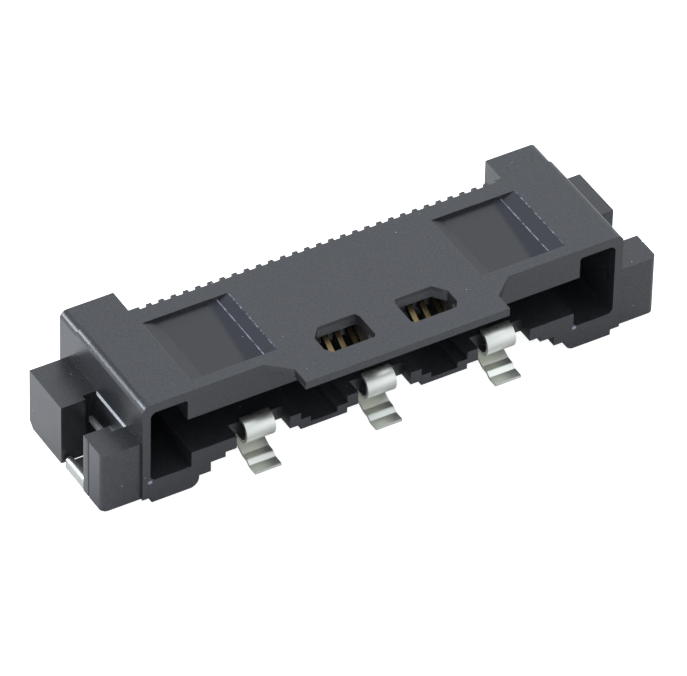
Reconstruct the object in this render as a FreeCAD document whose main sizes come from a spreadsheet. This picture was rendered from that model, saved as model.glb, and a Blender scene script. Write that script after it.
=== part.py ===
import FreeCAD, Part

import math
import os

import Sketcher

# A right-angle surface-mount connector for a shielded flat cable. Millimetres.
# X runs along the row of contacts, -Y is the cable side, +Z points away from the board.
# Outlines are drawn from the middle of the row, at the comb's rear face, with the underside of
# the housing's feet at height 0. Every piece is then moved back and up, so that the origin lies
# on the board under the middle of the connector.

Vector = FreeCAD.Vector
Y_AXIS = Vector(0, 1, 0)
X_AXIS = Vector(1, 0, 0)
Z_AXIS = Vector(0, 0, 1)

# Each row is a name and either a number or a formula in other names.
SIZES = [
    # Row of contacts and its comb of ribs
    ("contact_count", "30"),
    ("contact_pitch", "0.5"),
    ("contact_sheet", "0.2"),
    ("contact_play", "0.05"),
    ("contact_slot", "=contact_sheet + 2 * contact_play"),
    ("row_half", "=(contact_count - 1) * contact_pitch / 2"),
    ("comb_margin", "0.5"),
    ("comb_half", "=row_half + comb_margin"),
    # Ground clips along the mouth
    ("clip_count", "3"),
    ("clip_pitch", "5"),
    ("clip_half", "=(clip_count - 1) * clip_pitch / 2"),
    ("clip_width", "1.18"),
    ("clip_leg_width", "1.08"),
    ("clip_sheet", "0.12"),
    # Housing block, held a little above the board by the metal feet
    ("standoff", "0.1"),
    ("body_height", "4.6"),
    ("body_depth", "4.9"),
    ("end_block", "2.18"),
    ("body_half", "=comb_half + end_block"),
    ("edge_round", "0.3"),
    ("top_bend_x", "=body_half - edge_round"),
    ("top_bend_z", "=body_height - edge_round"),
    ("rear_wall", "1.3"),
    ("rear_lift", "0.12"),
    ("cavity_depth", "=body_depth - rear_wall"),
    # Mouth: a low middle and a tall slot at each end
    ("end_wall", "0.32"),
    ("wall_in", "=body_half - end_wall"),
    ("end_slot_width", "1.67"),
    ("end_slot_in", "=wall_in - end_slot_width"),
    ("band_lap", "0.17"),
    ("band_in", "=end_slot_in + band_lap"),
    ("end_roof", "0.4"),
    ("end_slot_top", "=body_height - end_roof"),
    ("end_slot_low", "1.03"),
    ("end_slot_round", "0.25"),
    ("end_slot_bend_x", "=wall_in - end_slot_round"),
    ("end_slot_bend_high", "=end_slot_top - end_slot_round"),
    ("end_slot_bend_low", "=end_slot_low + end_slot_round"),
    ("band_round", "0.12"),
    ("band_bend_x", "=band_in + band_round"),
    ("band_bend_z", "=end_slot_top - band_round"),
    ("roof", "1.3"),
    ("mouth_high", "=body_height - roof"),
    ("mouth_low", "1.67"),
    # Stepped underside and feet
    ("foot_out", "=body_half - 0.38"),
    ("foot_in", "=comb_half - 0.13"),
    ("foot_round", "0.38"),
    ("foot_bend_x", "=foot_in + foot_round"),
    ("haunch_low", "0.46"),
    ("haunch_in", "=foot_in - 0.48"),
    ("floor_low", "0.89"),
    ("floor_step", "0.22"),
    ("floor_thin_low", "=floor_low + floor_step"),
    ("clip_bay_half", "1.54"),
    ("clip_notch_half", "1.09"),
    # Lowered ledge between two clips
    ("ledge_span", "=clip_pitch / 2 - clip_bay_half"),
    ("ledge_inner", "=ledge_span - 0.41"),
    ("ledge_high", "=mouth_low - 0.32"),
    ("ledge_low", "=floor_low + 0.21"),
    ("ledge_depth", "3"),
    # Rear posts
    ("post_depth", "1.23"),
    ("post_drop", "0.1"),
    ("post_high", "=body_height - post_drop"),
    ("post_bend_z", "=post_high - edge_round"),
    # End lugs with the pocket and groove for a solder nail
    ("lug_reach", "1.57"),
    ("lug_half", "=body_half + lug_reach"),
    ("lug_root", "=body_half - end_wall / 2"),
    ("lug_lift", "0.24"),
    ("lug_high", "2.84"),
    ("lug_height", "=lug_high - lug_lift"),
    ("lug_front", "=body_depth - 0.11"),
    ("lug_rear", "0.62"),
    ("lug_round", "0.25"),
    ("lug_bend_x", "=lug_half - lug_round"),
    ("lug_bend_y", "=lug_front - lug_round"),
    ("lug_bevel", "0.25"),
    ("lug_bevel_y", "=lug_rear - lug_bevel"),
    ("lug_bevel_z", "=lug_lift + lug_bevel"),
    ("pocket_front", "3.4"),
    ("pocket_rear", "1.75"),
    ("seam_y", "=pocket_front + 0.39"),
    ("seam_front", "=seam_y + 0.04"),
    ("seam_rear", "=seam_y - 0.04"),
    ("seam_x", "=lug_half - 0.05"),
    ("groove_front", "=pocket_front + 0.3"),
    ("groove_rear", "=pocket_rear - 0.24"),
    ("groove_length", "=groove_front - groove_rear"),
    ("groove_in", "=body_half + 0.07"),
    ("groove_out", "=groove_in + 0.5"),
    ("rim_bevel_z", "=lug_high - 0.07"),
    # Lip over the mouth
    ("lip_half", "4.2"),
    ("lip_root_half", "=lip_half + 0.84"),
    ("lip_sheet", "0.34"),
    ("lip_front", "=body_depth + 1.55"),
    ("lip_shoulder", "=body_depth + 0.76"),
    ("lip_overlap", "=body_depth - 0.3"),
    # From the comb's rear face to the middle of the depth
    ("to_middle", "=(lip_front - post_depth) / 2"),
    # Shallow recesses in the top, with ramped sides
    ("recess_depth", "0.15"),
    ("recess_low", "=body_height - recess_depth"),
    ("recess_in", "4.2"),
    ("recess_in_low", "=recess_in + 0.47"),
    ("recess_out", "=comb_half"),
    ("recess_out_low", "=recess_out - 0.6"),
    ("recess_front", "=body_depth - 0.5"),
    ("recess_rear", "0.85"),
    ("recess_length", "=recess_front - recess_rear"),
    ("above_top", "=body_height + 0.2"),
    # Two windows over the contact tips
    ("window_in", "0.73"),
    ("window_out", "2.75"),
    ("window_rear", "4.04"),
    ("window_front", "5.48"),
    ("window_cut", "=roof + 0.1"),
    ("window_out_a", "=window_out - 0.4"),
    ("window_out_b", "=window_out - 0.2"),
    ("window_in_a", "=window_in + 0.1"),
    ("window_rear_a", "=window_rear + 0.48"),
    ("window_rear_b", "=window_rear + 0.2"),
    ("window_front_a", "=window_front - 0.28"),
    ("window_front_b", "=window_front - 0.12"),
    ("relief_rear", "=window_rear - 0.5"),
    ("relief_length", "=window_rear_a - relief_rear"),
    # Slot of one contact, seen from the side
    ("slot_depth", "0.3"),
    ("slot_top_depth", "0.13"),
    ("slot_behind", "0.1"),
    ("slot_below", "0.1"),
    ("channel_high", "=body_height - 0.5"),
    ("channel_end", "=body_depth - 0.57"),
    ("channel_low", "=mouth_high - 0.1"),
    ("barb_high", "=mouth_low - 0.05"),
    ("barb_low", "=floor_thin_low + 0.09"),
    ("barb_end", "=rear_wall - 0.2"),
    # One stamped contact, seen from the side
    ("spine_back", "0.06"),
    ("spine_front", "=slot_depth"),
    ("spine_high", "=body_height - 0.13"),
    ("tail_low", "=-standoff"),
    ("tail_high", "=tail_low + 0.15"),
    ("tail_end", "0.9"),
    ("tail_heel", "0.04"),
    ("tail_heel_high", "=tail_high + 0.1"),
    ("arm_root_high", "=channel_high - 0.08"),
    ("arm_root_low", "=arm_root_high - 0.5"),
    ("arm_neck_y", "=slot_depth + 0.35"),
    ("arm_neck_low", "=arm_root_high - 0.36"),
    ("arm_bend_y", "=channel_end - 1.3"),
    ("arm_bend_high", "=arm_root_high - 0.3"),
    ("arm_bend_low", "=arm_bend_high - 0.25"),
    ("nose_top_y", "=channel_end - 0.8"),
    ("nose_top_z", "=arm_bend_high - 0.13"),
    ("nose_front_y", "=channel_end - 0.2"),
    ("nose_front_z", "=mouth_high - 0.08"),
    ("nose_tip_y", "=channel_end - 0.15"),
    ("nose_tip_z", "=mouth_high - 0.16"),
    ("nose_low_y", "=channel_end - 0.3"),
    ("nose_low_z", "=mouth_high - 0.25"),
    ("nose_heel_y", "=channel_end - 0.48"),
    ("nose_heel_z", "=mouth_high - 0.2"),
    ("nose_back_y", "=channel_end - 0.82"),
    ("nose_back_z", "=mouth_high + 0.05"),
    ("barb_top", "=barb_high - 0.04"),
    ("barb_bottom", "=barb_low + 0.04"),
    ("barb_nose_y", "=barb_end - 0.05"),
    ("barb_shoulder_y", "=barb_nose_y - 0.12"),
    ("barb_nose_top", "=barb_top - 0.06"),
    ("barb_nose_low", "=barb_bottom + 0.06"),
    # One ground clip, seen from the side: foot, brow, leg, fold, curl and blade
    ("notch_depth", "0.65"),
    ("curl_y", "=body_depth - notch_depth"),
    ("blade_z", "=mouth_low + clip_sheet / 2"),
    ("curl_front", "=curl_y + 0.46"),
    ("curl_low", "0.78"),
    ("curl_radius", "=(blade_z - curl_low) / 2 - 0.015"),
    ("fold_y", "=curl_y - 0.81"),
    ("fold_radius", "0.11"),
    ("fold_high", "=curl_low + 0.08"),
    ("fold_low", "=fold_high - 0.3"),
    ("knee_y", "=curl_y + 0.12"),
    ("knee_z", "0.12"),
    ("brow_y", "=curl_y + 0.42"),
    ("brow_z", "0.1"),
    ("heel_y", "=curl_y + 0.6"),
    ("heel_radius", "0.08"),
    ("foot_y", "=curl_y + 1.05"),
    ("clip_foot_z", "=clip_sheet / 2 - standoff"),
    # One solder nail: plate in the groove, folded tongue, foot on the board
    ("nail_sheet", "0.15"),
    ("nail_plate_x", "=groove_out - nail_sheet / 2 - 0.05"),
    ("nail_plate_high", "2.15"),
    ("nail_plate_front", "=groove_front - nail_sheet / 2"),
    ("nail_plate_rear", "=pocket_rear + 0.15"),
    ("nail_fold_x", "=groove_in + nail_sheet / 2"),
    ("nail_fold_radius", "=(nail_plate_x - nail_fold_x) / 2"),
    ("nail_tongue_low", "1.2"),
    ("nail_tongue_rear", "=pocket_front - 0.7"),
    ("nail_foot_front", "=pocket_front - 0.1"),
    ("nail_foot_rear", "=pocket_rear + 0.1"),
    ("nail_sole_rear", "=pocket_rear - 0.15"),
    ("nail_arm_root", "=nail_foot_front - 0.2"),
    ("nail_arm_low", "1.9"),
    ("nail_foot_x", "=lug_half - 0.12"),
    ("nail_bend_radius", "0.15"),
    ("nail_toe_high", "0.55"),
    ("nail_hem_radius", "0.08"),
    ("nail_hem_low", "0.15"),
]


def make_sheet(doc):
    """Put every name and its value into the spreadsheet."""
    sheet = doc.addObject("Spreadsheet::Sheet", "sizes")
    for row, (name, value) in enumerate(SIZES, start=1):
        sheet.set(f"A{row}", name)
        sheet.set(f"B{row}", value)
        sheet.setAlias(f"B{row}", name)
    doc.recompute()
    return sheet


def value(sheet, name):
    """The number behind a name, or behind a name with a minus sign."""
    sign = -1.0 if name.startswith("-") else 1.0
    return sign * float(sheet.get(name.lstrip("-")))


def formula(name):
    """The expression for a name, or for a name with a minus sign."""
    sign = "-" if name.startswith("-") else ""
    return f"{sign}sizes.{name.lstrip('-')}"


def mirror_outline(half):
    """The other half of an outline, in the order that closes it."""
    other = []
    for i in range(len(half) - 1, -1, -1):
        radius = half[i - 1][2:] if i > 0 else ()
        other.append(("-" + half[i][0], half[i][1]) + radius)
    return other


def draw_edge(sketch, start, end, radius):
    """A line between two corners, or an arc that bulges to the right of the way there."""
    if radius is None:
        return sketch.addGeometry(Part.LineSegment(start, end), False)
    chord = end - start
    to_centre = Vector(-chord.y, chord.x, 0).normalize()
    sag = math.sqrt(radius ** 2 - (chord.Length / 2) ** 2)
    centre = (start + end) / 2 + to_centre * sag
    angles = [math.atan2(point.y - centre.y, point.x - centre.x) for point in (start, end)]
    circle = Part.Circle(centre, Z_AXIS, radius)
    return sketch.addGeometry(Part.ArcOfCircle(circle, angles[0], angles[1]), False)


def bind(sketch, kind, places, name, size, label):
    """A constraint of this size, tied to its name in the sheet."""
    index = sketch.addConstraint(Sketcher.Constraint(kind, *places, size))
    sketch.renameConstraint(index, label)
    if name != "0":
        sketch.setExpression(f"Constraints.{label}", formula(name))


def draw_outline(sketch, sheet, corners):
    """Close an outline through the corners, and tie each corner and radius to its size.

    A corner with a third name starts an arc of that radius. Such outlines run anticlockwise.
    """
    points = []
    for corner in corners:
        u = 0.0 if corner[0] == "0" else value(sheet, corner[0])
        v = 0.0 if corner[1] == "0" else value(sheet, corner[1])
        points.append(Vector(u, v, 0))
    first = sketch.GeometryCount
    count = len(points)
    for i, corner in enumerate(corners):
        radius = value(sheet, corner[2]) if len(corner) == 3 else None
        draw_edge(sketch, points[i], points[(i + 1) % count], radius)
    for i in range(count):
        sketch.addConstraint(
            Sketcher.Constraint("Coincident", first + i, 2, first + (i + 1) % count, 1)
        )
    for i, corner in enumerate(corners):
        edge = first + i
        bind(sketch, "DistanceX", (-1, 1, edge, 1), corner[0], points[i].x, f"across_{edge}")
        bind(sketch, "DistanceY", (-1, 1, edge, 1), corner[1], points[i].y, f"up_{edge}")
        if len(corner) == 3:
            bind(sketch, "Radius", (edge,), corner[2], value(sheet, corner[2]), f"radius_{edge}")


def place(item):
    """Move a piece from the drawing's origin to the one on the board."""
    item.setExpression(".Placement.Base.y", "sizes.to_middle")
    item.setExpression(".Placement.Base.z", "sizes.standoff")


def origin_feature(body, role):
    """The body's own origin plane or axis with this role."""
    return next(item for item in body.Origin.OriginFeatures if item.Role == role)


def new_sketch(body, sheet, name, role, corners, lift=None, shift=None):
    """A sketch on one of the body's planes, lifted off it and shifted along it by named sizes."""
    sketch = body.newObject("Sketcher::SketchObject", name)
    sketch.AttachmentSupport = [(origin_feature(body, role), "")]
    sketch.MapMode = "FlatFace"
    if lift:
        sketch.setExpression(".AttachmentOffset.Base.z", lift)
    if shift:
        sketch.setExpression(".AttachmentOffset.Base.x", shift)
    draw_outline(sketch, sheet, corners)
    sketch.Visibility = False
    return sketch


def extrude(body, kind, name, sketch, length, reverse=False, middle=False):
    """A pad or a pocket of a sketch, with its length tied to a size."""
    feature = body.newObject(f"PartDesign::{kind}", name)
    feature.Profile = sketch
    feature.setExpression("Length", length)
    feature.Reversed = reverse
    if middle:
        feature.SideType = "Symmetric"
    body.Document.recompute()
    return feature


def repeat(body, name, features, count, pitch):
    """The features repeated along X."""
    pattern = body.newObject("PartDesign::LinearPattern", name)
    pattern.Originals = features
    pattern.Direction = (origin_feature(body, "X_Axis"), [""])
    pattern.Mode = "Spacing"
    pattern.setExpression("Offset", pitch)
    pattern.setExpression("Occurrences", count)
    body.Tip = pattern
    body.Document.recompute()


def mirror(body, name, features):
    """The features mirrored to the other end of the row."""
    mirrored = body.newObject("PartDesign::Mirrored", name)
    mirrored.Originals = features
    mirrored.MirrorPlane = (origin_feature(body, "YZ_Plane"), [""])
    body.Tip = mirrored
    body.Document.recompute()


def housing_block(body, sheet):
    """The block between the ends, with feet at its ends and steps under its floor."""
    half = [
        ("haunch_in", "floor_low"),
        ("haunch_in", "haunch_low"),
        ("foot_in", "haunch_low"),
        ("foot_in", "foot_round", "foot_round"),
        ("foot_bend_x", "0"),
        ("foot_out", "0"),
        ("foot_out", "lug_lift"),
        ("body_half", "lug_lift"),
        ("body_half", "top_bend_z", "edge_round"),
        ("top_bend_x", "body_height"),
    ]
    front = new_sketch(body, sheet, "front_outline", "XZ_Plane", half + mirror_outline(half))
    extrude(body, "Pad", "block", front, "sizes.body_depth")

    half = [("foot_bend_x", "rear_lift"), ("foot_bend_x", "mouth_low")]
    rear = new_sketch(body, sheet, "skirt_outline", "XZ_Plane", half + mirror_outline(half))
    extrude(body, "Pad", "rear_wall_skirt", rear, "sizes.rear_wall")


def housing_lip(body, sheet):
    """The thin lip that stands out over the mouth, with cut-back corners."""
    corners = [
        ("-lip_root_half", "-lip_overlap"),
        ("-lip_root_half", "-body_depth"),
        ("-lip_half", "-lip_shoulder"),
        ("-lip_half", "-lip_front"),
        ("lip_half", "-lip_front"),
        ("lip_half", "-lip_shoulder"),
        ("lip_root_half", "-body_depth"),
        ("lip_root_half", "-lip_overlap"),
    ]
    sketch = new_sketch(body, sheet, "lip_outline", "XY_Plane", corners, "sizes.body_height")
    extrude(body, "Pad", "lip", sketch, "sizes.lip_sheet", reverse=True)


def housing_ends(body, sheet):
    """A rear post and a forked, bevelled lug at one end, then the same at the other."""
    post = [
        ("comb_half", "0"),
        ("body_half", "0"),
        ("body_half", "post_bend_z", "edge_round"),
        ("top_bend_x", "post_high"),
        ("comb_half", "post_high"),
    ]
    post_sketch = new_sketch(body, sheet, "post_outline", "XZ_Plane", post)
    post_pad = extrude(body, "Pad", "rear_post", post_sketch, "sizes.post_depth", reverse=True)
    lug = [
        ("lug_root", "-lug_front"),
        ("lug_bend_x", "-lug_front", "lug_round"),
        ("lug_half", "-lug_bend_y"),
        ("lug_half", "-seam_front"),
        ("seam_x", "-seam_y"),
        ("lug_half", "-seam_rear"),
        ("lug_half", "-pocket_front"),
        ("groove_out", "-pocket_front"),
        ("groove_out", "-groove_front"),
        ("groove_in", "-groove_front"),
        ("groove_in", "-groove_rear"),
        ("groove_out", "-groove_rear"),
        ("groove_out", "-pocket_rear"),
        ("lug_half", "-pocket_rear"),
        ("lug_half", "lug_rear"),
        ("lug_root", "lug_rear"),
    ]
    lug_sketch = new_sketch(body, sheet, "lug_outline", "XY_Plane", lug, "sizes.lug_lift")
    lug_pad = extrude(body, "Pad", "end_lug", lug_sketch, "sizes.lug_height")
    mirror(body, "other_end", [post_pad, lug_pad])
    bevel = [
        ("lug_bevel_y", "lug_lift"),
        ("lug_rear", "lug_lift"),
        ("lug_rear", "lug_bevel_z"),
    ]
    bevel_sketch = new_sketch(body, sheet, "bevel_section", "YZ_Plane", bevel, "sizes.lug_half")
    bevel_cut = extrude(body, "Pocket", "lug_corner", bevel_sketch, "sizes.lug_reach")
    rim = [
        ("body_half", "lug_high"),
        ("groove_in", "rim_bevel_z"),
        ("groove_in", "lug_high"),
    ]
    rim_sketch = new_sketch(body, sheet, "rim_section", "XZ_Plane", rim, "sizes.groove_front")
    rim_cut = extrude(body, "Pocket", "groove_rim", rim_sketch, "sizes.groove_length")
    mirror(body, "other_bevels", [bevel_cut, rim_cut])


def housing_mouth(body, sheet):
    """The mouth that takes the cable: low in the middle, tall at both ends."""
    half = [
        ("end_slot_in", "mouth_low"),
        ("end_slot_in", "end_slot_low"),
        ("end_slot_bend_x", "end_slot_low", "end_slot_round"),
        ("wall_in", "end_slot_bend_low"),
        ("wall_in", "end_slot_bend_high", "end_slot_round"),
        ("end_slot_bend_x", "end_slot_top"),
        ("band_bend_x", "end_slot_top", "band_round"),
        ("band_in", "band_bend_z"),
        ("band_in", "mouth_high"),
    ]
    mouth = new_sketch(
        body, sheet, "mouth_outline", "XZ_Plane", half + mirror_outline(half), "sizes.body_depth"
    )
    extrude(body, "Pocket", "mouth", mouth, "sizes.cavity_depth")


def housing_top(body, sheet):
    """A ramped recess, and a window with its ribs cut back, on each side of the top."""
    recess = [
        ("recess_in", "above_top"),
        ("recess_in", "body_height"),
        ("recess_in_low", "recess_low"),
        ("recess_out_low", "recess_low"),
        ("recess_out", "body_height"),
        ("recess_out", "above_top"),
    ]
    recess_sketch = new_sketch(
        body, sheet, "recess_section", "XZ_Plane", recess, "sizes.recess_front"
    )
    recess_cut = extrude(body, "Pocket", "top_recess", recess_sketch, "sizes.recess_length")
    window = [
        ("window_in", "-window_rear_b"),
        ("window_in_a", "-window_rear"),
        ("window_out_a", "-window_rear"),
        ("window_out", "-window_rear_a"),
        ("window_out", "-window_front_a"),
        ("window_out_b", "-window_front"),
        ("window_in_a", "-window_front"),
        ("window_in", "-window_front_b"),
    ]
    window_sketch = new_sketch(
        body, sheet, "window_outline", "XY_Plane", window, "sizes.body_height"
    )
    window_cut = extrude(body, "Pocket", "window", window_sketch, "sizes.window_cut")
    relief = [
        ("window_in", "channel_low"),
        ("window_out", "channel_low"),
        ("window_out", "channel_high"),
        ("window_in", "channel_high"),
    ]
    relief_sketch = new_sketch(
        body, sheet, "relief_outline", "XZ_Plane", relief, "sizes.window_rear_a"
    )
    relief_cut = extrude(body, "Pocket", "rib_relief", relief_sketch, "sizes.relief_length")
    mirror(body, "other_side_of_top", [recess_cut, window_cut, relief_cut])


def housing_front_edge(body, sheet):
    """Bays and notches for the clips in the floor's front edge, and ledges between them."""
    bay = [
        ("-clip_bay_half", "0"),
        ("clip_bay_half", "0"),
        ("clip_bay_half", "floor_thin_low"),
        ("-clip_bay_half", "floor_thin_low"),
    ]
    bay_sketch = new_sketch(
        body, sheet, "bay_outline", "XZ_Plane", bay, "sizes.body_depth", "-sizes.clip_half"
    )
    bay_cut = extrude(body, "Pocket", "clip_bay", bay_sketch, "sizes.cavity_depth")
    notch = [
        ("-clip_notch_half", "0"),
        ("clip_notch_half", "0"),
        ("clip_notch_half", "mouth_high"),
        ("-clip_notch_half", "mouth_high"),
    ]
    notch_sketch = new_sketch(
        body, sheet, "notch_outline", "XZ_Plane", notch, "sizes.body_depth", "-sizes.clip_half"
    )
    notch_cut = extrude(body, "Pocket", "clip_notch", notch_sketch, "sizes.notch_depth")
    repeat(body, "clip_places", [bay_cut, notch_cut], "sizes.clip_count", "sizes.clip_pitch")
    ledge = [
        ("-ledge_span", "mouth_high"),
        ("-ledge_span", "ledge_high"),
        ("-ledge_inner", "ledge_high"),
        ("-ledge_inner", "ledge_low"),
        ("ledge_inner", "ledge_low"),
        ("ledge_inner", "ledge_high"),
        ("ledge_span", "ledge_high"),
        ("ledge_span", "mouth_high"),
    ]
    ledge_sketch = new_sketch(
        body, sheet, "ledge_outline", "XZ_Plane", ledge, "sizes.body_depth",
        "-sizes.clip_half + sizes.clip_pitch / 2"
    )
    ledge_cut = extrude(body, "Pocket", "ledge", ledge_sketch, "sizes.ledge_depth")
    repeat(body, "ledges", [ledge_cut], "sizes.clip_count - 1", "sizes.clip_pitch")


def housing_slots(body, sheet):
    """One contact slot through the rear wall and under the roof, repeated along the row."""
    corners = [
        ("slot_behind", "-slot_below"),
        ("slot_behind", "above_top"),
        ("-slot_top_depth", "above_top"),
        ("-slot_top_depth", "channel_high"),
        ("-channel_end", "channel_high"),
        ("-channel_end", "channel_low"),
        ("-slot_depth", "channel_low"),
        ("-slot_depth", "barb_high"),
        ("-barb_end", "barb_high"),
        ("-barb_end", "barb_low"),
        ("-slot_depth", "barb_low"),
        ("-slot_depth", "-slot_below"),
    ]
    sketch = new_sketch(
        body, sheet, "slot_outline", "YZ_Plane", corners, "-sizes.row_half"
    )
    slot = extrude(body, "Pocket", "contact_slot", sketch, "sizes.contact_slot", middle=True)
    repeat(body, "contact_slots", [slot], "sizes.contact_count", "sizes.contact_pitch")


def make_housing(doc, sheet):
    """The moulded housing."""
    body = doc.addObject("PartDesign::Body", "housing")
    body.Label = "housing"
    place(body)
    housing_block(body, sheet)
    housing_lip(body, sheet)
    housing_ends(body, sheet)
    housing_mouth(body, sheet)
    housing_top(body, sheet)
    housing_front_edge(body, sheet)
    housing_slots(body, sheet)
    return body


def make_contacts(doc, sheet):
    """Stamped contacts: spine in the comb, arm under the roof, barb and solder tail."""
    profile = doc.addObject("Sketcher::SketchObject", "contact_profile")
    profile.Placement = FreeCAD.Placement(Vector(), FreeCAD.Rotation(Vector(1, 1, 1), 120))
    corners = [
        ("tail_end", "tail_low"),
        ("tail_end", "tail_high"),
        ("tail_heel", "tail_high"),
        ("-spine_back", "tail_heel_high"),
        ("-spine_back", "spine_high"),
        ("-slot_top_depth", "spine_high"),
        ("-slot_top_depth", "arm_root_high"),
        ("-spine_front", "arm_root_high"),
        ("-arm_bend_y", "arm_bend_high"),
        ("-nose_top_y", "nose_top_z"),
        ("-nose_front_y", "nose_front_z"),
        ("-nose_tip_y", "nose_tip_z"),
        ("-nose_low_y", "nose_low_z"),
        ("-nose_heel_y", "nose_heel_z"),
        ("-nose_back_y", "nose_back_z"),
        ("-arm_bend_y", "arm_bend_low"),
        ("-arm_neck_y", "arm_neck_low"),
        ("-spine_front", "arm_root_low"),
        ("-spine_front", "barb_top"),
        ("-barb_shoulder_y", "barb_top"),
        ("-barb_nose_y", "barb_nose_top"),
        ("-barb_nose_y", "barb_nose_low"),
        ("-barb_shoulder_y", "barb_bottom"),
        ("-spine_front", "barb_bottom"),
        ("-spine_front", "tail_low"),
    ]
    draw_outline(profile, sheet, corners)
    contacts = []
    for number in range(int(value(sheet, "contact_count"))):
        name = f"contact_{number + 1:02d}"
        contact = doc.addObject("Part::Extrusion", name)
        contact.Label = name
        contact.Base = profile
        contact.DirMode = "Normal"
        contact.Solid = True
        contact.Symmetric = True
        contact.setExpression("LengthFwd", "sizes.contact_sheet")
        contact.setExpression(
            ".Placement.Base.x", f"-sizes.row_half + {number} * sizes.contact_pitch"
        )
        place(contact)
        contacts.append(contact)
    doc.recompute()
    return contacts


def strip_section(corners, radii, sheet_thickness, normal):
    """The section of a bent sheet: its middle line runs through the corners, turned on the radii."""
    pieces = []
    start = corners[0]
    for before, corner, after, radius in zip(corners, corners[1:], corners[2:], radii):
        way_in = (corner - before).normalize()
        way_out = (after - corner).normalize()
        turn = math.acos(max(-1.0, min(1.0, way_in.dot(way_out))))
        reach = radius * math.tan(turn / 2)
        arc_start = corner - way_in * reach
        arc_end = corner + way_out * reach
        side = 1.0 if normal.dot(way_in.cross(way_out)) > 0 else -1.0
        centre = arc_start + normal.cross(way_in) * radius * side
        if start.distanceToPoint(arc_start) > 1e-6:
            pieces.append(("line", start, arc_start, None))
        pieces.append(("arc", arc_start, arc_end, centre))
        start = arc_end
    pieces.append(("line", start, corners[-1], None))

    def offset_side(distance):
        edges = []
        points = []
        for kind, first, last, centre in pieces:
            if kind == "line":
                across = normal.cross((last - first).normalize()) * distance
                ends = (first + across, last + across)
                edges.append(Part.LineSegment(*ends).toShape())
            else:
                inward = 1.0 if normal.dot((first - centre).cross(last - centre)) > 0 else -1.0
                radius = (first - centre).Length
                scale = (radius - inward * distance) / radius
                ends = (centre + (first - centre) * scale, centre + (last - centre) * scale)
                bulge = ((first - centre) + (last - centre)).normalize() * radius * scale
                edges.append(Part.Arc(ends[0], centre + bulge, ends[1]).toShape())
            points.extend(ends)
        return edges, points[0], points[-1]

    half = sheet_thickness / 2
    near_edges, near_start, near_end = offset_side(half)
    far_edges, far_start, far_end = offset_side(-half)
    caps = [
        Part.LineSegment(near_start, far_start).toShape(),
        Part.LineSegment(near_end, far_end).toShape(),
    ]
    wire = Part.Wire(Part.__sortEdges__(near_edges + far_edges + caps))
    return Part.Face(wire)


def clip_shape(sheet):
    """One ground clip: foot, brow, leg, fold, curl round the floor's edge and blade on the floor."""

    def at(y, z):
        return Vector(0, -value(sheet, y), value(sheet, z))

    thickness = value(sheet, "clip_sheet")
    bend = value(sheet, "heel_radius")
    fold = value(sheet, "fold_radius")
    curl = value(sheet, "curl_radius")
    knee = at("knee_y", "knee_z")
    leg_top = at("fold_y", "fold_low")
    joint = (knee + leg_top) / 2
    lower = [
        at("foot_y", "clip_foot_z"),
        at("heel_y", "clip_foot_z"),
        at("brow_y", "brow_z"),
        knee,
        joint,
    ]
    upper = [
        joint,
        leg_top,
        at("fold_y", "fold_high"),
        at("curl_front", "curl_low"),
        at("curl_front", "blade_z"),
        at("rear_wall", "blade_z"),
    ]
    solids = []
    for corners, radii, width in (
        (lower, [bend, bend, fold], value(sheet, "clip_leg_width")),
        (upper, [fold, fold, curl, curl], value(sheet, "clip_width")),
    ):
        face = strip_section(corners, radii, thickness, X_AXIS)
        face.translate(Vector(-width / 2, 0, 0))
        solids.append(face.extrude(Vector(width, 0, 0)))
    return solids[0].fuse(solids[1]).removeSplitter()


def make_clips(doc, sheet):
    """The ground clips, one at each notch of the floor's front edge."""
    clips = []
    shape = clip_shape(sheet)
    for number in range(int(value(sheet, "clip_count"))):
        name = f"ground_clip_{number + 1}"
        clip = doc.addObject("Part::Feature", name)
        clip.Label = name
        clip.Shape = shape
        across = number * value(sheet, "clip_pitch") - value(sheet, "clip_half")
        clip.Placement = FreeCAD.Placement(Vector(across, 0, 0), FreeCAD.Rotation())
        place(clip)
        clips.append(clip)
    return clips


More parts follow.
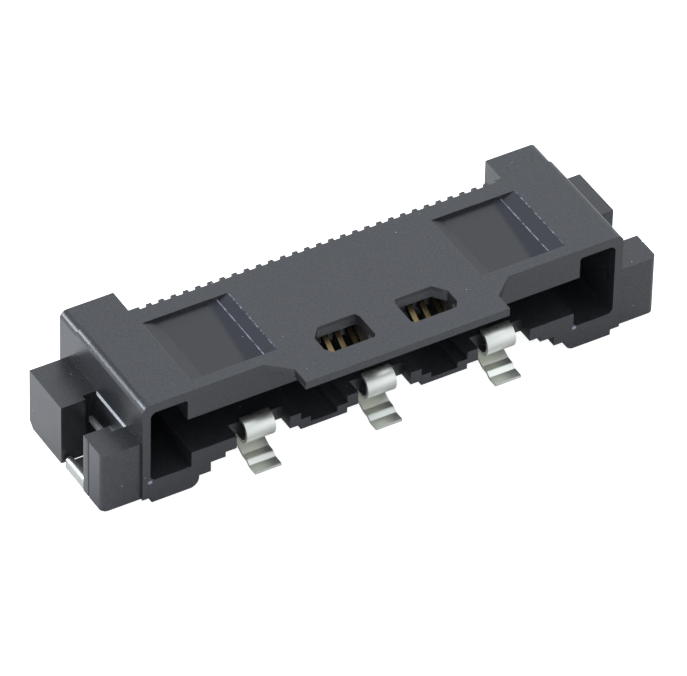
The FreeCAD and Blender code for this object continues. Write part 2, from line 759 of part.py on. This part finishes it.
def nail_shape(sheet):
    """The right-hand solder nail: arm, tongue folded back beside it, foot with a hemmed toe."""
    thickness = value(sheet, "nail_sheet")
    plate_x = value(sheet, "nail_plate_x")
    fold_x = value(sheet, "nail_fold_x")
    foot_z = thickness / 2 - value(sheet, "standoff")
    rear = -value(sheet, "nail_plate_rear")
    front = -value(sheet, "nail_plate_front")
    tongue_low = value(sheet, "nail_tongue_low")
    high = value(sheet, "nail_plate_high")
    radius = value(sheet, "nail_fold_radius")

    fold_path = [
        Vector(plate_x, rear, tongue_low),
        Vector(plate_x, front, tongue_low),
        Vector(fold_x, front, tongue_low),
        Vector(fold_x, -value(sheet, "nail_tongue_rear"), tongue_low),
    ]
    fold = strip_section(fold_path, [radius, radius], thickness, Z_AXIS)
    fold = fold.extrude(Vector(0, 0, high - tongue_low))
    below_arm = Part.makeBox(
        plate_x - fold_x + 2 * thickness,
        value(sheet, "nail_arm_root") + rear + thickness,
        value(sheet, "nail_arm_low") - tongue_low + thickness,
        Vector(fold_x - thickness, -value(sheet, "nail_arm_root"), tongue_low - thickness),
    )
    solids = [fold.cut(below_arm)]

    bend = value(sheet, "nail_bend_radius")
    hem = value(sheet, "nail_hem_radius")
    toe_x = value(sheet, "nail_foot_x") - thickness / 2
    toe_z = value(sheet, "nail_toe_high") - thickness / 2
    foot_path = [
        Vector(plate_x, 0, tongue_low),
        Vector(plate_x, 0, foot_z),
        Vector(toe_x, 0, foot_z),
        Vector(toe_x, 0, toe_z),
        Vector(toe_x - 2 * hem, 0, toe_z),
        Vector(toe_x - 2 * hem, 0, value(sheet, "nail_hem_low")),
    ]
    foot = strip_section(foot_path, [bend, bend, hem, hem], thickness, Y_AXIS)
    foot_front = -value(sheet, "nail_foot_front")
    foot_length = value(sheet, "nail_foot_front") - value(sheet, "nail_foot_rear")
    foot.translate(Vector(0, foot_front, 0))
    solids.append(foot.extrude(Vector(0, foot_length, 0)))

    sole_length = value(sheet, "nail_foot_rear") - value(sheet, "nail_sole_rear")
    sole_width = toe_x - bend - plate_x - bend
    sole_corner = Vector(plate_x + bend, foot_front + foot_length, foot_z - thickness / 2)
    solids.append(Part.makeBox(sole_width, sole_length, thickness, sole_corner))
    return solids[0].fuse(solids[1:]).removeSplitter()


def make_nails(doc, sheet):
    """The solder nails in the pockets of the two lugs."""
    right = nail_shape(sheet)
    nails = []
    for name, shape in (("solder_nail_left", right.mirror(Vector(), X_AXIS)), ("solder_nail_right", right)):
        nail = doc.addObject("Part::Feature", name)
        nail.Label = name
        nail.Shape = shape
        nail.Placement = FreeCAD.Placement()
        place(nail)
        nails.append(nail)
    return nails


def check(doc, parts):
    """Stop on any failed object and on any sub-part that is not one valid solid."""
    for item in doc.Objects:
        if "Invalid" in item.State or "Error" in item.State:
            raise RuntimeError(f"{item.Name} failed: {item.State}")
    for item in parts:
        shape = item.Shape
        if shape.isNull() or not shape.isValid() or len(shape.Solids) != 1:
            raise RuntimeError(f"{item.Label} is not one valid solid")


def main():
    """Build the connector and write one file for each piece."""
    doc = FreeCAD.newDocument("flat_cable_connector")
    sheet = make_sheet(doc)
    parts = [make_housing(doc, sheet)]
    parts += make_contacts(doc, sheet)
    parts += make_clips(doc, sheet)
    parts += make_nails(doc, sheet)
    doc.recompute()
    check(doc, parts)
    os.makedirs("parts", exist_ok=True)
    for item in parts:
        item.Shape.exportStep(f"parts/{item.Label}.step")
        box = item.Shape.BoundBox
        print(
            f"{item.Label}: {item.Shape.Volume:.3f} mm3, "
            f"x {box.XMin:.2f} to {box.XMax:.2f}, y {box.YMin:.2f} to {box.YMax:.2f}, "
            f"z {box.ZMin:.2f} to {box.ZMax:.2f}"
        )


main()
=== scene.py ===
# %% [markdown]
# # A flat-cable connector, dressed for its picture
# The object is a surface-mount socket about 23 mm long. A black moulded housing holds thirty
# stamped contacts, three ground clips and two solder nails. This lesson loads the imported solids,
# gives each one the edges and the finish of the real thing, and sets up the photographer's
# camera and lights. All lengths are in metres, so a helper turns millimetres into metres.

# %% Load the solids
import math

import bmesh
import bpy
from mathutils import Matrix, Vector


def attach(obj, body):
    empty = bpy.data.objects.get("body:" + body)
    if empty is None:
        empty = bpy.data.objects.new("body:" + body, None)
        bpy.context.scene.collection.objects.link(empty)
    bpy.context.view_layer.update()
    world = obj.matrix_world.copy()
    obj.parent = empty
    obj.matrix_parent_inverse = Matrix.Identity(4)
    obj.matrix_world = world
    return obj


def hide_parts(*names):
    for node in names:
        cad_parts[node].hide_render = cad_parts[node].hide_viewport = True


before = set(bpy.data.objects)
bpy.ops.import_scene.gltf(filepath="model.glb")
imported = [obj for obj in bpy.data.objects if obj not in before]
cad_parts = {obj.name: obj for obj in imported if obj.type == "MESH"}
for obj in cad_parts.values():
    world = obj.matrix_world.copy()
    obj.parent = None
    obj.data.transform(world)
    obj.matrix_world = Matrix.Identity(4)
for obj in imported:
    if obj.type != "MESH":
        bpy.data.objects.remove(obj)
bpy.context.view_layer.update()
scene = bpy.context.scene


# %% Millimetres
def mm(*values):
    """Millimetres as metres: one number, or a vector of three."""
    if len(values) == 1:
        return values[0] / 1000
    return Vector(values) / 1000


# %% [markdown]
# ## Helpers for materials
# A material is a small graph of nodes. Writing each graph by hand is long, so two helpers add a
# node with its values and link two sockets. An effect such as grain or rolling lines goes into a
# node group, with named inputs and outputs, so that it is built once and any material can use
# it. A third helper starts such a group.

# %% Node helpers
def add(tree, kind, **values):
    """A new node, with its properties and its unlinked inputs set by name."""
    node = tree.nodes.new(kind)
    for name, value in values.items():
        if hasattr(node, name):
            setattr(node, name, value)
        else:
            node.inputs[name.replace("_", " ")].default_value = value
    return node


def link(tree, start, end):
    """A link from one socket to another."""
    tree.links.new(start, end)


def new_group(name, inputs, outputs):
    """An empty node group with float inputs, outputs of the given kinds, and its two end nodes."""
    tree = bpy.data.node_groups.new(name, "ShaderNodeTree")
    for socket, value in inputs.items():
        item = tree.interface.new_socket(socket, in_out="INPUT", socket_type="NodeSocketFloat")
        item.default_value = value
    for socket, kind in outputs.items():
        tree.interface.new_socket(socket, in_out="OUTPUT", socket_type=kind)
    return tree, tree.nodes.new("NodeGroupInput"), tree.nodes.new("NodeGroupOutput")


# %% [markdown]
# ## Moulded grain
# Housings like this are usually cast in spark-eroded steel moulds, which leave a fine even grain
# on the faces. A faint cloudiness lies under it, and there are a few bright specks, perhaps dust
# or glass fibres at the surface. Fine noise makes the grain, coarse noise the clouds, and the
# few smallest distances of a Voronoi pattern make the specks.

# %% Grain group
def make_grain():
    """A group that puts out a height, a cloud mask and a speck mask, all from 0 to 1."""
    tree, start, end = new_group(
        "moulded_grain",
        {"Grain scale": 14000.0, "Cloud scale": 420.0, "Speck scale": 1500.0, "Speck size": 0.03},
        {"Height": "NodeSocketFloat", "Clouds": "NodeSocketFloat", "Specks": "NodeSocketFloat"},
    )
    place = add(tree, "ShaderNodeTexCoord")
    grain = add(tree, "ShaderNodeTexNoise", Detail=3.0, Roughness=0.65)
    clouds = add(tree, "ShaderNodeTexNoise", Detail=4.0, Roughness=0.55)
    specks = add(tree, "ShaderNodeTexVoronoi", feature="F1", Randomness=1.0)
    edge = add(tree, "ShaderNodeMath", operation="LESS_THAN")
    for node, size in ((grain, "Grain scale"), (clouds, "Cloud scale"), (specks, "Speck scale")):
        link(tree, place.outputs["Object"], node.inputs["Vector"])
        link(tree, start.outputs[size], node.inputs["Scale"])
    link(tree, specks.outputs["Distance"], edge.inputs[0])
    link(tree, start.outputs["Speck size"], edge.inputs[1])
    link(tree, grain.outputs["Fac"], end.inputs["Height"])
    link(tree, clouds.outputs["Fac"], end.inputs["Clouds"])
    link(tree, edge.outputs["Value"], end.inputs["Specks"])
    return tree


grain_group = make_grain()
print("group:", grain_group.name)

# %% [markdown]
# ## Rolled metal
# The clips, nails and contacts are stamped from rolled strip. Rolling leaves hair-fine lines
# along the strip, and plating softens them and clouds the shine. Noise stretched along one axis
# gives the lines, and a Mapping node does the stretching.

# %% Rolled metal group
def make_rolling():
    """A group that puts out fine lines and broad stains, both from 0 to 1."""
    tree, start, end = new_group(
        "rolled_metal",
        {"Stain scale": 900.0},
        {"Lines": "NodeSocketFloat", "Stains": "NodeSocketFloat"},
    )
    place = add(tree, "ShaderNodeTexCoord")
    stretch = add(tree, "ShaderNodeMapping", Scale=(22000.0, 900.0, 900.0))
    lines = add(tree, "ShaderNodeTexNoise", Scale=1.0, Detail=2.0, Roughness=0.5)
    stains = add(tree, "ShaderNodeTexNoise", Detail=3.0, Roughness=0.6)
    link(tree, place.outputs["Object"], stretch.inputs["Vector"])
    link(tree, stretch.outputs["Vector"], lines.inputs["Vector"])
    link(tree, place.outputs["Object"], stains.inputs["Vector"])
    link(tree, start.outputs["Stain scale"], stains.inputs["Scale"])
    link(tree, lines.outputs["Fac"], end.inputs["Lines"])
    link(tree, stains.outputs["Fac"], end.inputs["Stains"])
    return tree


rolling_group = make_rolling()
print("group:", rolling_group.name)

# %% [markdown]
# ## The three finishes
# Black resin is a dark dielectric: most of what one sees on it is a blurred reflection, so the
# roughness matters more than the colour. Tin plate is a pale grey metal with a warm cast; the
# nails get a darker copy of it, a painted shade for their pockets. Gold plate is a yellow metal,
# here darkened far below gold's own colour, a painted shade for contacts in the housing's shadow.
# Each finish blends two close colours by its mask, because no real surface has one flat colour,
# and it bends the light a little with a Bump node.

# %% Finish helper
def new_finish(name, group, **fixed):
    """A material with one surface shader, one effect group and the fixed values."""
    finish = bpy.data.materials.new(name)
    finish.use_nodes = True
    tree = finish.node_tree
    shader = tree.nodes["Principled BSDF"]
    for socket, value in fixed.items():
        shader.inputs[socket.replace("_", " ")].default_value = value
    effect = add(tree, "ShaderNodeGroup", node_tree=group)
    return finish, tree, shader, effect


def blend_colours(tree, mask, low, high):
    """The output socket of a mix of two colours by a mask."""
    mix = add(tree, "ShaderNodeMix", data_type="RGBA")
    mix.inputs["A"].default_value = (*low, 1.0)
    mix.inputs["B"].default_value = (*high, 1.0)
    link(tree, mask, mix.inputs["Factor"])
    return mix.outputs["Result"]


def lay_over(tree, below, colour, mask):
    """The output socket of one colour laid over another where a mask is 1."""
    mix = add(tree, "ShaderNodeMix", data_type="RGBA")
    mix.inputs["B"].default_value = (*colour, 1.0)
    link(tree, below, mix.inputs["A"])
    link(tree, mask, mix.inputs["Factor"])
    return mix.outputs["Result"]


def stretch_range(tree, value, low, high):
    """The output socket of a value from 0.3 to 0.7, mapped to a new range."""
    node = add(tree, "ShaderNodeMapRange", From_Min=0.3, From_Max=0.7, To_Min=low, To_Max=high)
    link(tree, value, node.inputs["Value"])
    return node.outputs["Result"]


def add_bump(tree, shader, height, strength, distance):
    """A bump from a height to the shader's normal."""
    bump = add(tree, "ShaderNodeBump", Strength=strength, Distance=distance)
    link(tree, height, bump.inputs["Height"])
    link(tree, bump.outputs["Normal"], shader.inputs["Normal"])


# %% [markdown]
# ## Floors, ramps and rims of the recesses
# The floors of the two recesses are painted a little darker than the rest of the top, a painted
# shade. The ramp at the side of each is painted a darker bluish colour, a painted shade and
# reflection, and is smoother; a wedge of the floor before it gets the same painted shade and is
# duller. A pale, broken line along the top and the foot of a ramp is a painted highlight, and so
# are two small pale spots by the lower left corners of the end slots, painted glints. All of it
# lies at fixed places on the object, so it is drawn from the three Object coordinates.

# %% Band helper
def band(tree, value, low, high, blur):
    """The output socket of a soft band: 1 between two values, falling to 0 over a blur."""
    rise = add(tree, "ShaderNodeMapRange", From_Min=low - blur, From_Max=low)
    fall = add(
        tree, "ShaderNodeMapRange", From_Min=high, From_Max=high + blur, To_Min=1.0, To_Max=0.0
    )
    both = add(tree, "ShaderNodeMath", operation="MULTIPLY")
    link(tree, value, rise.inputs["Value"])
    link(tree, value, fall.inputs["Value"])
    link(tree, rise.outputs["Result"], both.inputs[0])
    link(tree, fall.outputs["Result"], both.inputs[1])
    return both.outputs["Value"]


def combine(tree, operation, sockets):
    """The output socket of one math operation run over several values."""
    total = sockets[0]
    for socket in sockets[1:]:
        step = add(tree, "ShaderNodeMath", operation=operation)
        link(tree, total, step.inputs[0])
        link(tree, socket, step.inputs[1])
        total = step.outputs["Value"]
    return total


# %% Where the painted shade and highlights lie, in millimetres
# The levels are limits of masks, a hair outside the faces that they cover
PAINTED_LOW, FLOORS_HIGH, PAINTED_HIGH = 4.53, 4.685, 4.72
PAINTED_FRONT, PAINTED_REAR = -1.76, 1.74
# In pairs: a ramp's foot and top, a painted highlight line's place and how broken it is,
# a painted glint's place and height
RAMPS = ((-4.67, -4.2), (7.15, 7.75))
RIM_LINES = ((-4.67, 0.40), (7.15, 0.42), (-4.21, 0.47), (7.745, 0.46))
PAINTED_GLINTS = ((-9.62, 1.06), (7.98, 1.06))
WEDGE_LEAN, WEDGE_WIDTH, WEDGE_REACH, WEDGE_BLUR = -0.12, 0.46, 1.2, 0.22
RAMP_BLUR = 0.015
print("ramps from foot to top:", RAMPS)


# %% Recess group
def make_recess_painted_light():
    """A group that puts out masks for painted highlights and for painted shade on recess floors,
    ramps and wedges.
    """
    tree, start, end = new_group(
        "recess_painted_light",
        {"Dot scale": 5200.0},
        {name: "NodeSocketFloat" for name in ("Lines", "Floors", "Ramps", "Wedges")},
    )
    place = add(tree, "ShaderNodeTexCoord")
    axes = add(tree, "ShaderNodeSeparateXYZ")
    link(tree, place.outputs["Object"], axes.inputs[0])
    across, along, height = axes.outputs["X"], axes.outputs["Y"], axes.outputs["Z"]
    on_top = band(tree, height, mm(PAINTED_LOW), mm(PAINTED_HIGH), mm(0.01))
    in_length = band(tree, along, mm(PAINTED_FRONT), mm(PAINTED_REAR), mm(0.02))
    dots = add(tree, "ShaderNodeTexNoise", Detail=4.0, Roughness=0.7)
    link(tree, place.outputs["Object"], dots.inputs["Vector"])
    link(tree, start.outputs["Dot scale"], dots.inputs["Scale"])
    # Broken pale lines along the feet and tops of the ramps: painted highlights.
    lines = []
    for x, gap in RIM_LINES:
        broken = add(tree, "ShaderNodeMapRange", From_Min=gap, From_Max=gap + 0.16)
        link(tree, dots.outputs["Fac"], broken.inputs["Value"])
        near = band(tree, across, mm(x - 0.008), mm(x + 0.008), mm(0.022))
        lines.append(combine(tree, "MULTIPLY", [near, broken.outputs["Result"]]))
    line_mask = combine(tree, "MULTIPLY", [combine(tree, "MAXIMUM", lines), on_top, in_length])
    # Small pale spots by the end slots' lower left corners: painted glints.
    glint_masks = []
    for x, z in PAINTED_GLINTS:
        sides = band(tree, across, mm(x - 0.05), mm(x + 0.05), mm(0.05))
        levels = band(tree, height, mm(z - 0.03), mm(z + 0.05), mm(0.05))
        glint_masks.append(combine(tree, "MULTIPLY", [sides, levels]))
    in_front = band(tree, along, mm(-2.4), mm(-2.2), mm(0.02))
    glint_mask = combine(tree, "MULTIPLY", [combine(tree, "MAXIMUM", glint_masks), in_front])
    link(tree, combine(tree, "MAXIMUM", [line_mask, glint_mask]), end.inputs["Lines"])

    # Masks of the recess floors, the ramps and a leaning wedge before each, for painted shade.
    lean = add(tree, "ShaderNodeMath", operation="MULTIPLY_ADD")
    lean.inputs[1].default_value = WEDGE_LEAN
    link(tree, along, lean.inputs[0])
    link(tree, across, lean.inputs[2])
    ramps, wedges = [], []
    for foot, top in RAMPS:
        ramps.append(band(tree, across, mm(foot), mm(top), mm(RAMP_BLUR)))
        before = band(
            tree, across, mm(foot - WEDGE_REACH), mm(foot - RAMP_BLUR), mm(RAMP_BLUR)
        )
        wedge = band(
            tree, lean.outputs["Value"], mm(foot - WEDGE_WIDTH), mm(top), mm(WEDGE_BLUR)
        )
        wedges.append(combine(tree, "MULTIPLY", [wedge, before]))
    floors = [band(tree, height, mm(PAINTED_LOW), mm(FLOORS_HIGH), mm(0.01))]
    for name, masks in (("Floors", floors), ("Ramps", ramps), ("Wedges", wedges)):
        mask = combine(tree, "MULTIPLY", [combine(tree, "MAXIMUM", masks), on_top, in_length])
        link(tree, mask, end.inputs[name])
    return tree


recess_group = make_recess_painted_light()
print("group:", recess_group.name)


# %% Black resin
def make_resin():
    """The housing's black glass-filled resin."""
    finish, tree, shader, grain = new_finish("black_resin", grain_group, IOR=1.6)
    recess = add(tree, "ShaderNodeGroup", node_tree=recess_group)
    shade = blend_colours(
        tree, grain.outputs["Clouds"], (0.003, 0.0035, 0.005), (0.013, 0.014, 0.016)
    )
    fine = stretch_range(tree, grain.outputs["Height"], 0.0, 1.0)
    tint = lay_over(tree, shade, (0.034, 0.035, 0.038), fine)
    # Darker recess floors and darker bluish ramps and wedges: painted shade, the ramps' blue a
    # painted reflection.
    floors = lay_over(tree, tint, (0.007, 0.0075, 0.009), recess.outputs["Floors"])
    ramps = lay_over(tree, floors, (0.008, 0.009, 0.017), recess.outputs["Ramps"])
    wedges = lay_over(tree, ramps, (0.008, 0.009, 0.017), recess.outputs["Wedges"])
    speckled = lay_over(tree, wedges, (0.42, 0.44, 0.48), grain.outputs["Specks"])
    # Pale lines by the ramps and spots by the end slots: painted highlights.
    lined = lay_over(tree, speckled, (0.28, 0.29, 0.36), recess.outputs["Lines"])
    link(tree, lined, shader.inputs["Base Color"])
    dull = stretch_range(tree, grain.outputs["Clouds"], 0.26, 0.36)
    for mask, roughness in (("Floors", 0.40), ("Ramps", 0.32), ("Wedges", 0.75)):
        change = add(tree, "ShaderNodeMix", data_type="FLOAT")
        change.inputs["B"].default_value = roughness
        link(tree, dull, change.inputs["A"])
        link(tree, recess.outputs[mask], change.inputs["Factor"])
        dull = change.outputs["Result"]
    link(tree, dull, shader.inputs["Roughness"])
    add_bump(tree, shader, grain.outputs["Height"], 0.6, mm(0.011))
    return finish


resin = make_resin()
print("finish:", resin.name)


# %% Tin plate
def make_tin(name, low, high):
    """The matt tin plate of the clips and nails, between two colours."""
    finish, tree, shader, rolling = new_finish(name, rolling_group, Metallic=1.0)
    tint = blend_colours(tree, rolling.outputs["Stains"], low, high)
    link(tree, tint, shader.inputs["Base Color"])
    dull = stretch_range(tree, rolling.outputs["Lines"], 0.36, 0.46)
    link(tree, dull, shader.inputs["Roughness"])
    add_bump(tree, shader, rolling.outputs["Lines"], 0.2, mm(0.006))
    return finish


tin = make_tin("tin_plate", (0.76, 0.77, 0.69), (0.86, 0.87, 0.81))
# The nails' copy of the tin is darker: a painted shade for the nails in the lugs' pockets.
shaded_tin = make_tin("shaded_tin_plate", (0.50, 0.51, 0.48), (0.62, 0.63, 0.60))
print("finishes:", tin.name, shaded_tin.name)


# %% Gold plate
def make_gold():
    """The thin gold plate of the contacts."""
    finish, tree, shader, rolling = new_finish("gold_plate", rolling_group, Metallic=1.0)
    # The gold is darkened far below gold's own colour: a painted shade for contacts in the
    # housing's shadow.
    tint = blend_colours(tree, rolling.outputs["Stains"], (0.17, 0.125, 0.06), (0.27, 0.20, 0.10))
    link(tree, tint, shader.inputs["Base Color"])
    dull = stretch_range(tree, rolling.outputs["Stains"], 0.34, 0.44)
    link(tree, dull, shader.inputs["Roughness"])
    add_bump(tree, shader, rolling.outputs["Lines"], 0.15, mm(0.004))
    return finish


gold = make_gold()
print("finish:", gold.name)


# %% [markdown]
# ## Softened edges
# No moulded or stamped edge is perfectly sharp: the housing's edges have a radius of a few
# hundredths of a millimetre, and each one catches a thin line of light. The solids arrive as
# loose triangles, so a copy is merged, its flat faces are joined again, and every long edge that
# turns sharply is bevelled. Very short edges are left out, because a bevel there would run into
# its neighbours. Edges that still turn sharply afterwards are marked, and so are the
# creases between two wide faces, so that the smooth shading stops at them. A Weighted Normal
# modifier keeps the large faces flat.

# %% Edge helper
ROUNDED_TURN, SHARP_TURN, CREASE_TURN = 40, 33, 5
WIDE_FACE = 0.3
print("long edges that turn by more than", ROUNDED_TURN, "degrees are rounded")


def turning(edge, least):
    """Whether a closed edge turns by more than an angle in degrees."""
    return len(edge.link_faces) == 2 and edge.calc_face_angle(0.0) > math.radians(least)


def creased(edge):
    """Whether an edge divides two wide flat faces, as at the foot of a shallow ramp."""
    least = mm(WIDE_FACE) * edge.calc_length()
    return all(face.calc_area() > least for face in edge.link_faces) and turning(edge, CREASE_TURN)


# %% Soften a solid
def soften(node, width, steps, material, reshape=None):
    """A copy of a solid, reshaped if asked, with rounded edges and a finish, in its place."""
    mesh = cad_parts[node].data.copy()
    mesh.name = node + "_shape"
    form = bmesh.new()
    form.from_mesh(mesh)
    bmesh.ops.remove_doubles(form, verts=form.verts, dist=mm(0.0005))
    if reshape:
        reshape(form)
    bmesh.ops.dissolve_limit(
        form, angle_limit=math.radians(1), verts=form.verts, edges=form.edges
    )
    long_edges = [
        edge for edge in form.edges
        if turning(edge, ROUNDED_TURN) and edge.calc_length() > 3 * width
    ]
    bmesh.ops.bevel(
        form, geom=long_edges, offset=width, segments=steps, profile=0.5,
        affect="EDGES", material=-1, clamp_overlap=True
    )
    for face in form.faces:
        face.smooth = True
    for edge in form.edges:
        edge.smooth = not (turning(edge, SHARP_TURN) or creased(edge))
    form.to_mesh(mesh)
    form.free()
    mesh.materials.clear()
    mesh.materials.append(material)
    piece = bpy.data.objects.new(node + "_finished", mesh)
    scene.collection.objects.link(piece)
    flatten = piece.modifiers.new("flat_faces", "WEIGHTED_NORMAL")
    flatten.keep_sharp = True
    flatten.weight = 60
    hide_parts(node)
    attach(piece, "root")
    return piece


# %% The housing
housing = soften("housing", mm(0.035), 2, resin)
print("housing faces:", len(housing.data.polygons))

# %% [markdown]
# ## The clips' upper ends
# In the picture a clip's sheet is bright over the top of its curl and black behind it, where the
# solid's sheet runs on into the mouth as a flat blade. So the copy of a clip is cut across a
# little behind the top of the curl, where it has just reached the floor, and the cut is closed.
# Only the faces above the curl's middle are cut, because the same plane would also go through
# the fold under the floor. The picture doesn't tell whether the real sheet ends there or dips
# out of sight, and a cut is the plainest form that looks right.

# %% Trim a clip's end
CURL_UPPER, SHEET_END = 1.5, -1.57
print("the clips' sheets end at y:", SHEET_END, "mm")


def with_edges(faces):
    """Faces together with their edges and corners, each once."""
    return list(dict.fromkeys(part for face in faces for part in (face, *face.edges, *face.verts)))


def trim_end(form):
    """Cut a clip off a little behind the top of its curl, and close the cut."""
    least = mm(CURL_UPPER)
    upper = [face for face in form.faces if min(corner.co.z for corner in face.verts) > least]
    bmesh.ops.bisect_plane(
        form, geom=with_edges(upper), plane_co=mm(0, SHEET_END, 0), plane_no=(0, 1, 0),
        clear_outer=True
    )
    rim = [edge for edge in form.edges if edge.is_boundary]
    bmesh.ops.contextual_create(form, geom=rim)
    bmesh.ops.recalc_face_normals(form, faces=form.faces)


# %% The clips and nails
sheet_round = mm(0.02)
for name in ("ground_clip_1", "ground_clip_2", "ground_clip_3"):
    clip = soften(name, sheet_round, 2, tin, trim_end)
    print(name, "faces:", len(clip.data.polygons))
for name in ("solder_nail_left", "solder_nail_right"):
    nail = soften(name, sheet_round, 2, shaded_tin)
    print(name, "faces:", len(nail.data.polygons))

# %% [markdown]
# ## The contacts
# Each contact is 0.2 mm thick and mostly inside the housing. Its solid already has the right
# shape, so it stays as it is and only gets its gold, darkened as a painted shade.

# %% Gild the contacts
contacts = [node for name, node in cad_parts.items() if name.startswith("contact_")]
for node in contacts:
    node.data.materials.clear()
    node.data.materials.append(gold)
print("contacts:", len(contacts))

# %% [markdown]
# ## The floor
# The photograph has a plain white ground. The floor is a pale matt surface that takes the
# object's shadow, and it lies a hair below the feet, so that no two faces coincide. Where the
# camera sees it, it also glows, so that it reads as white without any more light on the object.
# Where a reflection sees it, the glow grows from nothing under the object's front to its full
# strength under its rear, because in the picture the faces turned to the front mirror less light
# than those at the side.

# %% White finish
CAMERA_GLOW, MIRROR_GLOW = 0.9, 0.40
GLOW_START, GLOW_FULL = -1.5, 1.5


def make_white():
    """A matt white that also glows where the camera or a reflection sees it."""
    finish = bpy.data.materials.new("white_floor")
    finish.use_nodes = True
    tree = finish.node_tree
    tree.nodes.clear()
    matt = add(tree, "ShaderNodeBsdfDiffuse", Color=(0.8, 0.8, 0.8, 1.0))
    glow = add(tree, "ShaderNodeEmission", Color=(1.0, 1.0, 1.0, 1.0))
    rays = add(tree, "ShaderNodeLightPath")
    place = add(tree, "ShaderNodeTexCoord")
    axes = add(tree, "ShaderNodeSeparateXYZ")
    lit = add(
        tree, "ShaderNodeMapRange", From_Min=mm(GLOW_START), From_Max=mm(GLOW_FULL),
        To_Min=0.0, To_Max=MIRROR_GLOW
    )
    mirrored = add(tree, "ShaderNodeMath", operation="MULTIPLY")
    seen = add(tree, "ShaderNodeMath", operation="MULTIPLY_ADD")
    seen.inputs[1].default_value = CAMERA_GLOW
    both = add(tree, "ShaderNodeAddShader")
    out = add(tree, "ShaderNodeOutputMaterial")
    link(tree, rays.outputs["Is Camera Ray"], seen.inputs[0])
    link(tree, place.outputs["Object"], axes.inputs[0])
    link(tree, axes.outputs["Y"], lit.inputs["Value"])
    link(tree, rays.outputs["Is Glossy Ray"], mirrored.inputs[0])
    link(tree, lit.outputs["Result"], mirrored.inputs[1])
    link(tree, mirrored.outputs[0], seen.inputs[2])
    link(tree, seen.outputs[0], glow.inputs["Strength"])
    link(tree, matt.outputs[0], both.inputs[0])
    link(tree, glow.outputs[0], both.inputs[1])
    link(tree, both.outputs[0], out.inputs["Surface"])
    return finish


white = make_white()
print("finish:", white.name)

# %% Floor
FLOOR_HALF_WIDTH, FLOOR_DROP = 1.2, -0.01


def make_floor():
    """A wide white floor, a hair below the object's feet."""
    form = bmesh.new()
    lowered = Matrix.Translation(mm(0, 0, FLOOR_DROP))
    bmesh.ops.create_grid(
        form, x_segments=1, y_segments=1, size=FLOOR_HALF_WIDTH, matrix=lowered
    )
    mesh = bpy.data.meshes.new("floor")
    form.to_mesh(mesh)
    form.free()
    ground = bpy.data.objects.new("floor", mesh)
    scene.collection.objects.link(ground)
    mesh.materials.append(white)
    return ground


floor = make_floor()
print("floor across:", round(floor.dimensions.x, 2), "m")

# %% [markdown]
# ## Light
# A small product is lit by large soft boxes, because small lamps would leave hard sparks on
# every edge. One box hangs behind on the right and one above, and the top faces mirror them. One
# stands low behind on the left: it draws the bright line along the rounded top edge. A weak one
# in front on the right lifts the front faces. The room itself is bright, even and a little cool.

# %% Soft boxes
def soft_box(name, direction, distance, size, power, colour=(1.0, 1.0, 1.0)):
    """A square lamp that faces the object from a direction."""
    lamp = bpy.data.lights.new(name, "AREA")
    lamp.shape = "SQUARE"
    lamp.size = size
    lamp.energy = power
    lamp.color = colour
    box = bpy.data.objects.new(name, lamp)
    towards = Vector(direction).normalized()
    box.location = towards * distance
    box.rotation_euler = towards.to_track_quat("Z", "Y").to_euler()
    scene.collection.objects.link(box)
    return box


soft_box("box_back_right", (0.53, 0.62, 0.57), 0.6, 0.4, 0.20, (0.92, 0.98, 1.0))
soft_box("box_top", (0.26, -0.06, 0.96), 0.6, 0.5, 0.8, (0.91, 0.98, 1.0))
soft_box("box_back_left", (-0.68, 0.65, 0.32), 0.5, 0.18, 1.5, (0.84, 0.91, 1.0))
soft_box("box_front", (0.60, -0.75, 0.25), 0.6, 0.4, 0.16)
print("soft boxes:", len(bpy.data.lights))

# %% Room
world = bpy.data.worlds.new("room")
world.use_nodes = True
walls = world.node_tree.nodes["Background"]
walls.inputs["Color"].default_value = (0.88, 0.92, 1.0, 1.0)
walls.inputs["Strength"].default_value = 0.95
scene.world = world
scene.view_settings.view_transform = "Standard"
print("room strength:", round(walls.inputs["Strength"].default_value, 2))

# %% [markdown]
# ## The camera
# The picture was taken with a long lens from a little to the left and well above. The angles
# come from matching corners of the object to their places in the picture, which is 687 pixels
# wide. The lens length follows from the focal length in pixels and a 36 mm sensor.

# %% Camera
turn, lift, tilt = math.radians(-30.965), math.radians(40.541), math.radians(1.445)
distance, focal_pixels, picture_width = mm(288.824), 8021.03, 687
back = Vector((math.sin(turn) * math.cos(lift), -math.cos(turn) * math.cos(lift), math.sin(lift)))
side = (-back).cross(Vector((0, 0, 1))).normalized()
rise = side.cross(-back)
right = side * math.cos(tilt) + rise * math.sin(tilt)
up = rise * math.cos(tilt) - side * math.sin(tilt)
aim = mm(0, 0.11, 2.7) + back * distance - right * mm(0.299) - up * mm(0.482)

lens = bpy.data.cameras.new("camera")
lens.sensor_width = 36
lens.lens = focal_pixels / picture_width * lens.sensor_width
lens.clip_start = 0.01
camera = bpy.data.objects.new("camera", lens)
axes = Matrix((right, up, back)).transposed().to_4x4()
camera.matrix_world = Matrix.Translation(aim) @ axes
scene.collection.objects.link(camera)
scene.camera = camera
print("lens:", round(lens.lens, 1), "mm")
